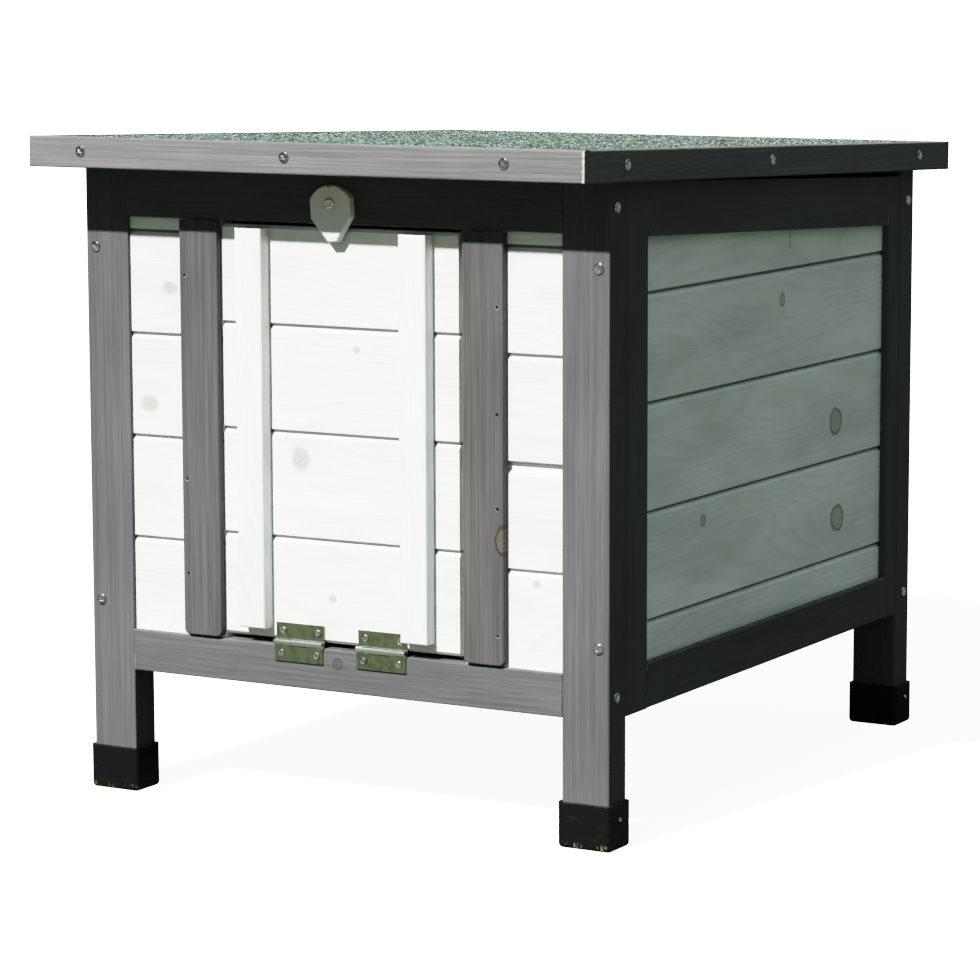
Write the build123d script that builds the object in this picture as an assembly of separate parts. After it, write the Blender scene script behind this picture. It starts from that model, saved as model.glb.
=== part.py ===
"""Small wooden pet hutch: a framed cabin on four legs with a drop-down front door and a lift-up roof.

Millimetres, +Z up. The front faces -Y and its right side faces +X. The origin is on the floor, under the
middle of the roof.
"""
from build123d import *
import os
from math import atan, cos, degrees, radians, tan

os.makedirs("parts", exist_ok=True)

# ---------------------------------------------------------------- overall sizes
body_width = 400.0           # across the outer side faces of the legs
body_depth = 474.0           # front face of the front legs to rear face of the rear legs
frame_height = 427.3         # floor to the top of the frame, at the front face of the legs
frame_slope = 2.66           # degrees, fall of the frame tops towards the rear
ground_clearance = 84.5      # floor to the underside of the bottom rails

# ---------------------------------------------------------------- frame timber
leg_width = 34.0             # along X
leg_depth = 23.5             # along Y
rail_thickness = 20.0        # front and rear rails, and the members of the side frames
front_rail_height = 28.5     # front and rear bottom rails
top_rail_height = 33.3       # front and rear top rails
side_bottom_rail_height = 29.8
side_top_rail_height = 35.0
front_stile_width = 29.5     # side frame, next to the front leg
rear_stile_width = 20.7      # side frame, next to the rear leg
arris = 1.2                  # rounding of the long edges of the frame timber

# ---------------------------------------------------------------- panel boards
board_thickness = 12.0
end_recess = 3.0             # front and rear boards, behind the faces of the rails
side_recess = 5.0            # side boards, behind the faces of the side frames
housing = 6.0                # how far the boards stand in the grooves of the frame
groove_gap = 0.2             # clearance round the boards in those grooves
front_board_pitch = 69.4
side_board_pitch = 71.0
front_top_board = 10.0       # face of the uppermost front and rear boards, below the top rails
side_top_board = 75.3        # uppermost joint of the side boards, below the top of the frame at the front
board_arris = 2.2            # bevel on the face edges, two of which make a V groove
tongue_thickness = 4.0
tongue_length = 5.0
tongue_gap = 0.2
board_gap = 0.3              # between the shoulders of neighbouring boards
open_joint = 2               # joints above the one that has come apart, right of the door
open_joint_gap = 4.6

# ---------------------------------------------------------------- doorway, door and slats
doorway_left = -92.5
doorway_right = 94.0
door_left_gap = 1.0          # between the door and the left edge of the doorway
door_right_gap = 4.4
door_foot_gap = 3.5          # above the bottom rail
door_head_gap = 2.5          # below the top rail
door_board_pitch = 70.5
door_top_board = 66.1        # face of the uppermost door board
door_stop_gap = 0.5          # between the back of the door and the jamb battens
jamb_width = 26.0
jamb_thickness = 12.0
door_lap = 7.0               # how far the jamb battens reach behind the door
slat_width = 30.0
slat_proud = 3.0             # how far the slats stand out from the front rails
slat_corner = 4.0            # rounding of the lower corners
slat_setback = 1.0           # right slat, from the edge of the doorway
slat_foot_gap = 1.0          # above the bottom rail
slat_head_gap = 0.5          # below the top rail
batten_width = 20.3
batten_thickness = 10.5
batten_left_inset = 16.5     # left batten, from the left edge of the door
batten_right_inset = 18.9    # right batten, from the right edge of the door
batten_foot = 7.2            # above the lower edge of the door
batten_head = 1.5            # below the upper edge of the door

# ---------------------------------------------------------------- floor
floor_thickness = 5.0
floor_drop = 0.5             # floor panel below the top of the front bottom rail
floor_gap = 0.5              # round the edges of the floor panel
cleat_size = 15.0

# ---------------------------------------------------------------- foot caps
cap_height = 30.0
cap_wall = 2.4
cap_floor = 3.0
cap_gap = 0.1                # between the leg and the wall of its cap
cap_rounding = 3.0           # of the lower edges
tack_height = 20.0           # floor to the tack that holds each cap

# ---------------------------------------------------------------- roof
front_overhang = 51.0
rear_overhang = 44.0
side_overhang = 9.0
fascia_height = 20.5
fascia_thickness = 8.0
fascia_drop = 0.5            # fascia below the underside of the deck
felt_thickness = 1.5
seat_gap = 0.3               # between the deck and the legs
deck_batten_size = 15.0      # square battens under the deck, inside the legs
deck_batten_gap = 1.5        # between those battens and the legs and side frames

# ---------------------------------------------------------------- turn button
button_width = 30.6
button_top = 12.0            # screw to the upper edge
button_tip = 25.0            # screw to the tip
button_tip_width = 6.5
button_shoulder = 9.0        # height of each rounded shoulder, and of the straight sides below the screw
button_lobe = 2.6            # fall of the shoulder at its roundest
button_lobe_x = 9.42         # roundest place of each shoulder, from the middle
button_nick = 2.4            # depth of the nick between the shoulders
button_nick_width = 1.8
button_thickness = 6.0
button_x = -2.0              # screw of the button
button_rise = 13.8           # screw of the button, above the underside of the top rail
button_tilt = 4.0            # degrees that the tip hangs to the right
button_bevel = 0.8
button_screw_length = 22.0
button_gap = 0.3             # between the button and the rail

# ---------------------------------------------------------------- hinges
leaf_length = 37.5
leaf_width = 12.8
leaf_thickness = 1.2
barrel_radius = 2.2
pin_radius = 1.2
pin_gap = 0.05
barrel_gap = 0.2             # round and between the barrels of the two leaves
hinge_axis_rise = 2.0        # door hinge pins above the bottom rail
hinge_axis_out = 1.0         # door hinge pins in front of the rails
door_hinge_gaps = (3.55, 0.15)             # between the left and right battens and the hinges
roof_hinge_inset = 46.0      # middle of each roof hinge, from the leg beside it
roof_hinge_clearance = 0.45  # between the roof hinge barrels and the timber above and below them
leaf_screw_inset = 5.2       # from each end of a leaf
leaf_screw_reach = 7.4       # from the pin
leaf_screw_length = 10.0

# ---------------------------------------------------------------- screws and pins
screw_head_radius = 3.8
screw_head_height = 1.0
screw_head_dome = 0.8        # rounding of the rim of every head
screw_slot = 0.8             # width of the arms of the cross
screw_radius = 1.8
small_head_radius = 2.8
small_screw_radius = 1.3
leg_screw_length = 36.0
rail_screw_length = 50.0
fascia_screw_length = 24.0
leg_screw_inset = 7.6        # front screws, from the outer side of the leg
leg_screw_rise = 18.4        # lower front and rear screws, above the bottom rail
leg_screw_drop = 21.2        # upper front and rear screws, below the front top rail
fascia_screw_insets_x = (42.0, 56.0)       # from the left and right ends
fascia_screw_insets_y = (57.0, 56.0)       # from the front and rear ends
fascia_screw_middle = (-8.0, -18.5)        # the ones between, from the middle of the roof
fascia_screw_rise = 11.0     # from the lower edge of the fascia
pin_hole_radius = 1.1
pin_depth = 0.6              # pins are driven this far below the surface
slat_pin_length = 16.0
slat_pin_inset = 4.2         # from the edge of the slat that is away from the door
left_slat_pins = ((41.7, 105.8), (36.9,))  # up from the foot, and down from the head
right_slat_pins = ((19.7, 101.9), (116.6, 48.0))
tack_head_radius = 1.6
tack_radius = 0.8
tack_length = 16.0

# ---------------------------------------------------------------- derived planes
half_width = body_width / 2
roof_depth = body_depth + front_overhang + rear_overhang
front = front_overhang - roof_depth / 2          # front face of the legs and front rails
rear = front + body_depth
leg_inner = half_width - leg_width
side_inner = half_width - rail_thickness
front_rail_top = ground_clearance + front_rail_height
side_rail_top = ground_clearance + side_bottom_rail_height
front_opening_top = frame_height - top_rail_height
front_board_joint = front_opening_top - front_top_board
side_board_joint = frame_height - side_top_board
floor_top = front_rail_top - floor_drop
deck_thickness = fascia_height - fascia_drop - felt_thickness
door_face = front + end_recess - door_stop_gap
door_left = doorway_left + door_left_gap
door_right = doorway_right - door_right_gap
door_bottom = front_rail_top + door_foot_gap
door_top = front_opening_top - door_head_gap
left_batten_x = (door_left + batten_left_inset, door_left + batten_left_inset + batten_width)
right_batten_x = (door_right - batten_right_inset - batten_width, door_right - batten_right_inset)

# The deck rests on the front of the frame and on the hinges behind it, so they set its slope.
roof_axis_y = rear + barrel_radius + barrel_gap
roof_hinge_gap = 2 * (barrel_radius + roof_hinge_clearance)
roof_rise = (roof_hinge_gap - seat_gap) / (roof_axis_y - front)
roof_slope = degrees(atan(tan(radians(frame_slope)) - roof_rise))


def frame_top(y):
    """Height of the sloping top of the frame."""
    return frame_height - (y - front) * tan(radians(frame_slope))


def deck_underside(y):
    """Height of the underside of the roof deck."""
    return frame_height + seat_gap - (y - front) * tan(radians(roof_slope))


def block(x, y, z):
    """Box between two limits on each axis."""
    size = [high - low for low, high in (x, y, z)]
    return Pos(x[0], y[0], z[0]) * Box(*size, align=(Align.MIN, Align.MIN, Align.MIN))


def eased(part, axis, radius=arris):
    """Part with its edges along one axis rounded."""
    return fillet(part.edges().filter_by(axis), radius)


def under_slope(part, drop=0.0, slope=frame_slope):
    """Part cut off at a slope that starts at the front of the frame's top, or that far below it."""
    cutter = Box(3 * body_width, 3 * body_depth, body_depth, align=(Align.CENTER, Align.CENTER, Align.MIN))
    return part - Pos(0, front, frame_height - drop) * Rot(X=-slope) * cutter


def mirrored(part):
    """Part reflected to the other side of the hutch."""
    return mirror(part, about=Plane.YZ)


parts = {}


def add(name, solids):
    """Keep one node: a single solid or a group of separate solids."""
    group = list(solids) if isinstance(solids, (list, tuple)) else [solids]
    parts[name] = [solid for shape in group for solid in shape.solids()]


# ---------------------------------------------------------------- fasteners
fastener_holes = []


def screw(place, length, head_radius=screw_head_radius, radius=screw_radius):
    """Round-head cross-slot screw, driven along -Z of its place, with the head's underside at z=0."""
    head = Cylinder(head_radius, screw_head_height, align=(Align.CENTER, Align.CENTER, Align.MIN))
    head = fillet(head.edges().sort_by(Axis.Z)[-1], screw_head_dome)
    for turn in (45, 135):
        head -= Pos(0, 0, screw_head_height) * Rot(Z=turn) * Box(head_radius, screw_slot, screw_head_height)
    shank_align = (Align.CENTER, Align.CENTER, Align.MAX)
    fastener_holes.append(place * Cylinder(radius + pin_gap, length + pin_gap, align=shank_align))
    return place * (head + Cylinder(radius, length, align=shank_align))


def brad(place, length):
    """Headless pin, driven along -Z of its place and sunk below the surface."""
    align = (Align.CENTER, Align.CENTER, Align.MAX)
    fastener_holes.append(place * Cylinder(pin_hole_radius, length + pin_gap, align=align))
    shank = Cylinder(pin_hole_radius - pin_gap, length - pin_depth, align=align)
    return place * Pos(0, 0, -pin_depth) * shank


def drilled(part, holes):
    """Part with the fastener holes that reach into it."""
    box = part.bounding_box()
    for hole in holes:
        reach = hole.bounding_box()
        apart = any(
            low_a > high_b or low_b > high_a
            for low_a, high_a, low_b, high_b in zip(
                tuple(box.min), tuple(box.max), tuple(reach.min), tuple(reach.max)
            )
        )
        if not apart:
            part = part - hole
    return part


# ---------------------------------------------------------------- directions of fastener heads
TO_FRONT = Rot(X=90)         # head towards -Y
TO_REAR = Rot(X=-90)
TO_RIGHT = Rot(Y=90)         # head towards +X
TO_LEFT = Rot(Y=-90)


# ---------------------------------------------------------------- boards
def board(length, low, high, tongue, groove):
    """One board lying along X, face at y=0, with a tongue on its top edge or a groove in its bottom edge."""
    back = board_thickness
    middle = back / 2
    half = tongue_thickness / 2
    cut = half + tongue_gap
    outline = [(0, low + board_arris), (board_arris, low)]
    if groove:
        depth = tongue_length + tongue_gap
        outline += [(middle - cut, low), (middle - cut, low + depth)]
        outline += [(middle + cut, low + depth), (middle + cut, low)]
    outline += [(back, low), (back, high)]
    if tongue:
        tip = high + tongue_length
        outline += [(middle + half, high), (middle + half, tip), (middle - half, tip), (middle - half, high)]
    outline += [(board_arris, high), (0, high - board_arris)]
    face = make_face(Polyline([(0, y, z) for y, z in outline], close=True))
    return Pos(-length / 2, 0, 0) * extrude(face, amount=length, dir=(1, 0, 0))


def boards(length, bottom, top, joint, pitch, opened=None):
    """A stack of tongued boards from bottom to top, with one joint at a given height and the rest below it.

    The joint with as many joints above it as opened has come apart, and shows the tongue of its lower board.
    """
    joints = [joint]
    while joints[-1] - pitch > bottom + tongue_length + board_arris:
        joints.append(joints[-1] - pitch)
    levels = [bottom] + joints[::-1] + [top]
    stack = []
    for number, (low, high) in enumerate(zip(levels, levels[1:])):
        first = number == 0
        last = number == len(joints)
        if opened is not None and len(joints) - 1 - number == opened:
            high -= open_joint_gap
        elif not last:
            high -= board_gap
        stack.append(board(length, low, high, not last, not first))
    return stack


def panel_blank(length, bottom, top):
    """Envelope of a panel with the clearance that its grooves leave."""
    gap = groove_gap
    return block(
        (-length / 2 - gap, length / 2 + gap), (-gap, board_thickness + gap), (bottom - gap, top + gap)
    )


# The frame of reference of a panel: its face at y=0 and its depth along +Y, turned to each side of the hutch.
end_panel_top = front_opening_top + housing
front_panel_place = Pos(0, front + end_recess, 0)
rear_panel_place = Pos(0, rear - end_recess, 0) * Rot(Z=180)
side_middle = (front + leg_depth + front_stile_width + rear - leg_depth - rear_stile_width) / 2
side_opening = body_depth - 2 * leg_depth - front_stile_width - rear_stile_width
right_panel_place = Pos(half_width - side_recess, side_middle, 0) * Rot(Z=90)

end_panel_length = 2 * leg_inner + 2 * housing
end_panel_bottom = front_rail_top - housing
side_panel_length = side_opening + 2 * housing
side_panel_bottom = side_rail_top - housing
rear_opening_top = frame_top(rear) - top_rail_height
rear_panel_top = rear_opening_top + housing
rear_board_joint = rear_opening_top - front_top_board
side_panel_drop = side_top_rail_height - housing

left_bay = (-end_panel_length / 2, doorway_left)
right_bay = (doorway_right, end_panel_length / 2)


def bay_boards(limits, opened=None):
    """Front boards between a leg and the doorway."""
    low, high = limits
    place = front_panel_place * Pos((low + high) / 2, 0, 0)
    stack = boards(high - low, end_panel_bottom, end_panel_top, front_board_joint, front_board_pitch, opened)
    return [place * piece for piece in stack]


def bay_blank(limits):
    """Groove space of the front boards beside the doorway."""
    low, high = limits
    place = front_panel_place * Pos((low + high) / 2, 0, 0)
    return place * panel_blank(high - low, end_panel_bottom, end_panel_top)


front_blanks = [bay_blank(left_bay), bay_blank(right_bay)]
rear_blank = rear_panel_place * panel_blank(end_panel_length, end_panel_bottom, rear_panel_top)
side_blank = right_panel_place * panel_blank(side_panel_length, side_panel_bottom, frame_height)
side_blank = under_slope(side_blank, side_panel_drop - groove_gap)

# ---------------------------------------------------------------- screws of the frame
leg_screws = []
rail_levels_front = (ground_clearance + front_rail_height / 2, frame_height - top_rail_height / 2)
rail_levels_rear = (rail_levels_front[0], frame_top(rear) - top_rail_height / 2)
front_rail_middle = front + rail_thickness / 2
rear_rail_middle = rear - rail_thickness / 2
for side, outward in ((1, TO_RIGHT), (-1, TO_LEFT)):
    for height in (front_rail_top + leg_screw_rise, front_opening_top - leg_screw_drop):
        x = side * (half_width - leg_screw_inset)
        leg_screws.append(screw(Pos(x, front, height) * TO_FRONT, leg_screw_length))
        leg_screws.append(screw(Pos(x, rear, height) * TO_REAR, leg_screw_length))
    for y, levels in ((front_rail_middle, rail_levels_front), (rear_rail_middle, rail_levels_rear)):
        for height in levels:
            leg_screws.append(screw(Pos(side * half_width, y, height) * outward, rail_screw_length))
add("frame_screws", leg_screws)

slat_face = front - slat_proud
left_slat = (doorway_left - slat_width, doorway_left)
right_slat = (doorway_right + slat_setback, doorway_right + slat_setback + slat_width)
slat_z = (front_rail_top + slat_foot_gap, front_opening_top - slat_head_gap)
slat_pins = []
for x, (from_foot, from_head) in (
    (left_slat[0] + slat_pin_inset, left_slat_pins),
    (right_slat[1] - slat_pin_inset, right_slat_pins),
):
    for z in [slat_z[0] + up for up in from_foot] + [slat_z[1] - down for down in from_head]:
        slat_pins.append(brad(Pos(x, slat_face, z) * TO_FRONT, slat_pin_length))
add("slat_pins", slat_pins)

# ---------------------------------------------------------------- feet
tacks = []
for y in (front_rail_middle, rear_rail_middle):
    for side, outward in ((1, TO_RIGHT), (-1, TO_LEFT)):
        place = Pos(side * (half_width + cap_gap + cap_wall), y, tack_height) * outward
        tacks.append(screw(place, tack_length, tack_head_radius, tack_radius))
add("foot_cap_tacks", tacks)

# ---------------------------------------------------------------- hinges
segment = leaf_length / 3


def leaf(surface, centre_barrel):
    """Hinge leaf with its pin on the X axis, its plate towards +Z and its mounting face at y=surface.

    One leaf has the centre third of the barrel and the other has the two outer thirds.
    """
    half = leaf_length / 2
    near = surface - leaf_thickness
    plate = block((-half, half), (near, surface), (0, leaf_width))
    centre = (-segment / 2 + barrel_gap / 2, segment / 2 - barrel_gap / 2)
    outer = [(-half, centre[0] - barrel_gap), (centre[1] + barrel_gap, half)]
    own, other = ([centre], outer) if centre_barrel else (outer, [centre])

    def roller(limits, radius, spare=0.0):
        low, high = limits[0] - spare, limits[1] + spare
        return Pos((low + high) / 2, 0, 0) * Rot(Y=90) * Cylinder(radius, high - low)

    for limits in other:
        plate -= roller(limits, barrel_radius + barrel_gap, barrel_gap)
    for limits in own:
        plate += roller(limits, barrel_radius)
        if near > barrel_radius:
            plate += block(limits, (0, surface), (-leaf_thickness / 2, leaf_thickness / 2))
    plate -= roller((-half, half), pin_radius + pin_gap, leaf_thickness)
    hole = TO_FRONT * Cylinder(small_screw_radius + pin_gap, 4 * leaf_thickness)
    for x in (-half + leaf_screw_inset, half - leaf_screw_inset):
        plate -= Pos(x, near, leaf_screw_reach) * hole
    return plate


def leaf_screws(surface, place):
    """Two small screws through a hinge leaf."""
    half = leaf_length / 2
    near = surface - leaf_thickness
    return [
        screw(place * Pos(x, near, leaf_screw_reach) * TO_FRONT, leaf_screw_length, small_head_radius,
              small_screw_radius)
        for x in (-half + leaf_screw_inset, half - leaf_screw_inset)
    ]


def hinge_pin(place):
    """Pin through all the barrels of one hinge."""
    return place * Rot(Y=90) * Cylinder(pin_radius, leaf_length)


hinge_axis_y = front - hinge_axis_out
door_leaf_surface = door_face - hinge_axis_y
rail_leaf_surface = hinge_axis_out
door_hinge_x = (
    left_batten_x[1] + door_hinge_gaps[0] + leaf_length / 2,
    right_batten_x[0] - door_hinge_gaps[1] - leaf_length / 2,
)
door_axes = [Pos(x, hinge_axis_y, front_rail_top + hinge_axis_rise) for x in door_hinge_x]

# The rail leaf hangs down from the pin: turned half a turn about Y, it keeps its face to the front.
down = Rot(Y=180)
add("door_hinge_upper_leaves", [place * leaf(door_leaf_surface, True) for place in door_axes])
add("door_hinge_lower_leaves", [place * down * leaf(rail_leaf_surface, False) for place in door_axes])
add("door_hinge_pins", [hinge_pin(place) for place in door_axes])
upper_screws = [leaf_screws(door_leaf_surface, place) for place in door_axes]
lower_screws = [leaf_screws(rail_leaf_surface, place * down) for place in door_axes]
add("door_hinge_upper_screws", sum(upper_screws, []))
add("door_hinge_lower_screws", sum(lower_screws, []))

# Roof hinges: both leaves lie in the gap between rear top rail and deck, with the pin behind the rail.
roof_axis_z = (frame_top(roof_axis_y) + deck_underside(roof_axis_y)) / 2
frame_surface = (roof_axis_z - frame_top(roof_axis_y)) * cos(radians(frame_slope))
deck_surface = (deck_underside(roof_axis_y) - roof_axis_z) * cos(radians(roof_slope))
on_rail = Rot(X=90 - frame_slope) * Rot(Z=180)
on_deck = Rot(X=90 - roof_slope)
roof_hinge_x = leg_inner - roof_hinge_inset
roof_axes = [Pos(x, roof_axis_y, roof_axis_z) for x in (-roof_hinge_x, roof_hinge_x)]
add("roof_hinge_frame_leaves", [place * on_rail * leaf(frame_surface, False) for place in roof_axes])
add("roof_hinge_roof_leaves", [place * on_deck * leaf(deck_surface, True) for place in roof_axes])
add("roof_hinge_pins", [hinge_pin(place) for place in roof_axes])
rail_screws = [leaf_screws(frame_surface, place * on_rail) for place in roof_axes]
deck_screws = [leaf_screws(deck_surface, place * on_deck) for place in roof_axes]
add("roof_hinge_frame_screws", sum(rail_screws, []))
add("roof_hinge_roof_screws", sum(deck_screws, []))

# ---------------------------------------------------------------- turn button
button_place = Pos(button_x, front, front_opening_top + button_rise)
button_screw_place = button_place * Pos(0, -button_gap - button_thickness, 0) * TO_FRONT
add("turn_button_screw", screw(button_screw_place, button_screw_length))


def turn_button():
    """Shield-shaped button with two rounded shoulders, a nick between them and a blunt tip."""
    half = button_width / 2
    nick = (0, button_top - button_nick)
    crown = (button_nick_width / 2, button_top)
    side_top = (half, button_top - button_shoulder)
    side_bottom = (half, -button_shoulder)
    tip = (button_tip_width / 2, -button_tip)
    middle = (button_lobe_x, button_top - button_lobe)
    with BuildPart() as button:
        with BuildSketch(Plane.XZ):
            with BuildLine():
                Line(nick, crown)
                ThreePointArc(crown, middle, side_top)
                Polyline([side_top, side_bottom, tip, (0, -button_tip), nick])
            make_face()
            mirror(about=Plane.YZ)
        extrude(amount=button_thickness)
    front_edges = button.part.faces().sort_by(Axis.Y)[0].outer_wire().edges()
    long_edges = [edge for edge in front_edges if edge.length > button_nick_width + button_nick]
    return Pos(0, -button_gap, 0) * chamfer(long_edges, button_bevel)


button_hole = Rot(X=90) * Cylinder(screw_radius + pin_gap, button_screw_length)
add("turn_button", button_place * Rot(Y=-button_tilt) * (turn_button() - button_hole))

# ---------------------------------------------------------------- roof
roof_place = Pos(0, 0, deck_underside(0)) * Rot(X=-roof_slope)
roof_half_width = half_width + side_overhang
roof_half_depth = roof_depth / 2
inner_x = roof_half_width - fascia_thickness
inner_y = roof_half_depth - fascia_thickness
fascia_z = (-fascia_drop, fascia_height - fascia_drop)
fascia_screw_z = fascia_z[0] + fascia_screw_rise


def between(half_size, insets, middle):
    """Places of the three screws along one side of the roof."""
    return (insets[0] - half_size, middle, half_size - insets[1])


fascia_screws = []
for y, outward in ((-roof_half_depth, TO_FRONT), (roof_half_depth, TO_REAR)):
    for x in between(roof_half_width, fascia_screw_insets_x, fascia_screw_middle[0]):
        place = roof_place * Pos(x, y, fascia_screw_z) * outward
        fascia_screws.append(screw(place, fascia_screw_length))
for x, outward in ((roof_half_width, TO_RIGHT), (-roof_half_width, TO_LEFT)):
    for y in between(roof_half_depth, fascia_screw_insets_y, fascia_screw_middle[1]):
        place = roof_place * Pos(x, y, fascia_screw_z) * outward
        fascia_screws.append(screw(place, fascia_screw_length))
add("fascia_screws", fascia_screws)

front_fascia = block((-roof_half_width, roof_half_width), (-roof_half_depth, -inner_y), fascia_z)
rear_fascia = block((-roof_half_width, roof_half_width), (inner_y, roof_half_depth), fascia_z)
right_fascia = block((inner_x, roof_half_width), (-inner_y, inner_y), fascia_z)
deck = block((-inner_x, inner_x), (-inner_y, inner_y), (0, deck_thickness))
felt = block((-inner_x, inner_x), (-inner_y, inner_y), (deck_thickness, deck_thickness + felt_thickness))
fascias = {
    "front_fascia": fillet(front_fascia.faces().sort_by(Axis.Y)[0].edges(), arris),
    "rear_fascia": fillet(rear_fascia.faces().sort_by(Axis.Y)[-1].edges(), arris),
    "right_fascia": fillet(right_fascia.faces().sort_by(Axis.X)[-1].edges().filter_by(Axis.Y), arris),
}
fascias["left_fascia"] = mirrored(fascias["right_fascia"])
for name, solid in fascias.items():
    add(name, drilled(roof_place * solid, fastener_holes))
add("roof_deck", drilled(roof_place * deck, fastener_holes))
add("roof_felt", roof_place * felt)
deck_batten_x = side_inner - deck_batten_gap
deck_batten_y = (front + leg_depth + deck_batten_gap, rear - leg_depth - deck_batten_gap - deck_batten_size)
add("deck_battens", [
    roof_place * block((-deck_batten_x, deck_batten_x), (y, y + deck_batten_size), (-deck_batten_size, 0))
    for y in deck_batten_y
])

# ---------------------------------------------------------------- legs and foot caps
leg_blank = block((leg_inner, half_width), (0, leg_depth), (cap_floor, frame_height))
for end, y0, slope in (("front", front, frame_slope), ("rear", rear - leg_depth, roof_slope)):
    leg = under_slope(Pos(0, y0, 0) * eased(leg_blank, Axis.Z), slope=slope)
    cup = block(
        (leg_inner - cap_gap - cap_wall, half_width + cap_gap + cap_wall),
        (y0 - cap_gap - cap_wall, y0 + leg_depth + cap_gap + cap_wall),
        (0, cap_height),
    )
    cup = fillet(cup.edges().filter_by(Axis.Z), arris + cap_gap + cap_wall)
    cup = fillet(cup.edges().group_by(Axis.Z)[0], cap_rounding)
    cup -= block(
        (leg_inner - cap_gap, half_width + cap_gap),
        (y0 - cap_gap, y0 + leg_depth + cap_gap),
        (cap_floor, cap_height),
    )
    for side in ("right", "left"):
        leg_here = leg if side == "right" else mirrored(leg)
        cup_here = cup if side == "right" else mirrored(cup)
        for blank in front_blanks + [rear_blank]:
            leg_here = leg_here - blank
        add(f"{end}_{side}_leg", drilled(leg_here, fastener_holes))
        add(f"{end}_{side}_foot_cap", drilled(cup_here, fastener_holes))

# ---------------------------------------------------------------- front and rear rails
span = (-leg_inner, leg_inner)
front_depth = (front, front + rail_thickness)
rear_depth = (rear - rail_thickness, rear)
end_rails = {
    "front_bottom_rail": eased(block(span, front_depth, (ground_clearance, front_rail_top)), Axis.X),
    "rear_bottom_rail": eased(block(span, rear_depth, (ground_clearance, front_rail_top)), Axis.X),
    "front_top_rail": under_slope(block(span, front_depth, (front_opening_top, frame_height))),
    "rear_top_rail": under_slope(block(span, rear_depth, (rear_opening_top, frame_height))),
}
for name, rail in end_rails.items():
    for blank in front_blanks + [rear_blank]:
        rail = rail - blank
    add(name, drilled(rail, fastener_holes))

# ---------------------------------------------------------------- side frames
side_x = (side_inner, half_width)
front_stile_y = (front + leg_depth, front + leg_depth + front_stile_width)
rear_stile_y = (rear - leg_depth - rear_stile_width, rear - leg_depth)
rail_y = (front_stile_y[1], rear_stile_y[0])
tenon_x = (half_width - side_recess - board_thickness, half_width - side_recess)
tenon_y = (rail_y[0] - housing + groove_gap, rail_y[1] + housing - groove_gap)
tall = (ground_clearance, frame_height)
stile_groove = right_panel_place * panel_blank(side_panel_length, ground_clearance, frame_height)
side_frame = {
    "front_stile": under_slope(eased(block(side_x, front_stile_y, tall), Axis.Z)) - stile_groove,
    "rear_stile": under_slope(eased(block(side_x, rear_stile_y, tall), Axis.Z)) - stile_groove,
}


def side_rail(low, high):
    """Rail between the stiles, with a tenon at each end."""
    rail = eased(block(side_x, rail_y, (low, high)), Axis.Y)
    return rail + block(tenon_x, tenon_y, (low + arris, high - arris))


side_frame["bottom_rail"] = side_rail(ground_clearance, side_rail_top) - side_blank
top_rail = block(side_x, rail_y, tall) + block(tenon_x, tenon_y, tall)
below_top_rail = under_slope(
    block((0, body_width), (front, rear), (0, frame_height)), side_top_rail_height
)
side_frame["top_rail"] = under_slope(top_rail) - below_top_rail - side_blank

for name, member in side_frame.items():
    add(f"right_side_{name}", drilled(member, fastener_holes))
    add(f"left_side_{name}", drilled(mirrored(member), fastener_holes))

# ---------------------------------------------------------------- panels
side_boards = boards(side_panel_length, side_panel_bottom, frame_height, side_board_joint, side_board_pitch)
side_boards = [under_slope(right_panel_place * piece, side_panel_drop) for piece in side_boards]
rear_boards = boards(end_panel_length, end_panel_bottom, rear_panel_top, rear_board_joint, front_board_pitch)
panels = {
    "front_left_boards": bay_boards(left_bay),
    "front_right_boards": bay_boards(right_bay, open_joint),
    "right_side_boards": side_boards,
    "left_side_boards": [mirrored(piece) for piece in side_boards],
    "rear_boards": [rear_panel_place * piece for piece in rear_boards],
}

# ---------------------------------------------------------------- slats and jamb battens
slat_depth = (slat_face, front + end_recess)
for name, limits in (("left_slat", left_slat), ("right_slat", right_slat)):
    slat = block(limits, slat_depth, slat_z)
    slat = fillet(slat.edges().filter_by(Axis.Y).group_by(Axis.Z)[0], slat_corner)
    slat = fillet(slat.faces().sort_by(Axis.Y)[0].edges().filter_by(Axis.Z), arris)
    add(name, drilled(slat, fastener_holes))

jamb_y = (front + end_recess + board_thickness, front + end_recess + board_thickness + jamb_thickness)
jamb_z = (front_rail_top, front_opening_top)
left_jamb_x = (door_left + door_lap - jamb_width, door_left + door_lap)
right_jamb_x = (door_right - door_lap, door_right - door_lap + jamb_width)
for name, limits in (("left_jamb_batten", left_jamb_x), ("right_jamb_batten", right_jamb_x)):
    add(name, eased(block(limits, jamb_y, jamb_z), Axis.Z))

for name, stack in panels.items():
    add(name, [drilled(piece, fastener_holes) for piece in stack])

# ---------------------------------------------------------------- door
door_width = door_right - door_left
door_stack = boards(door_width, door_bottom, door_top, door_top - door_top_board, door_board_pitch)
door_place = Pos((door_left + door_right) / 2, door_face, 0)
add("door_boards", [drilled(door_place * piece, fastener_holes) for piece in door_stack])
batten_depth = (door_face - batten_thickness, door_face)
batten_z = (door_bottom + batten_foot, door_top - batten_head)
for name, limits in (("left_door_batten", left_batten_x), ("right_door_batten", right_batten_x)):
    batten = block(limits, batten_depth, batten_z)
    add(name, fillet(batten.faces().sort_by(Axis.Y)[0].edges(), arris))

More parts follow.
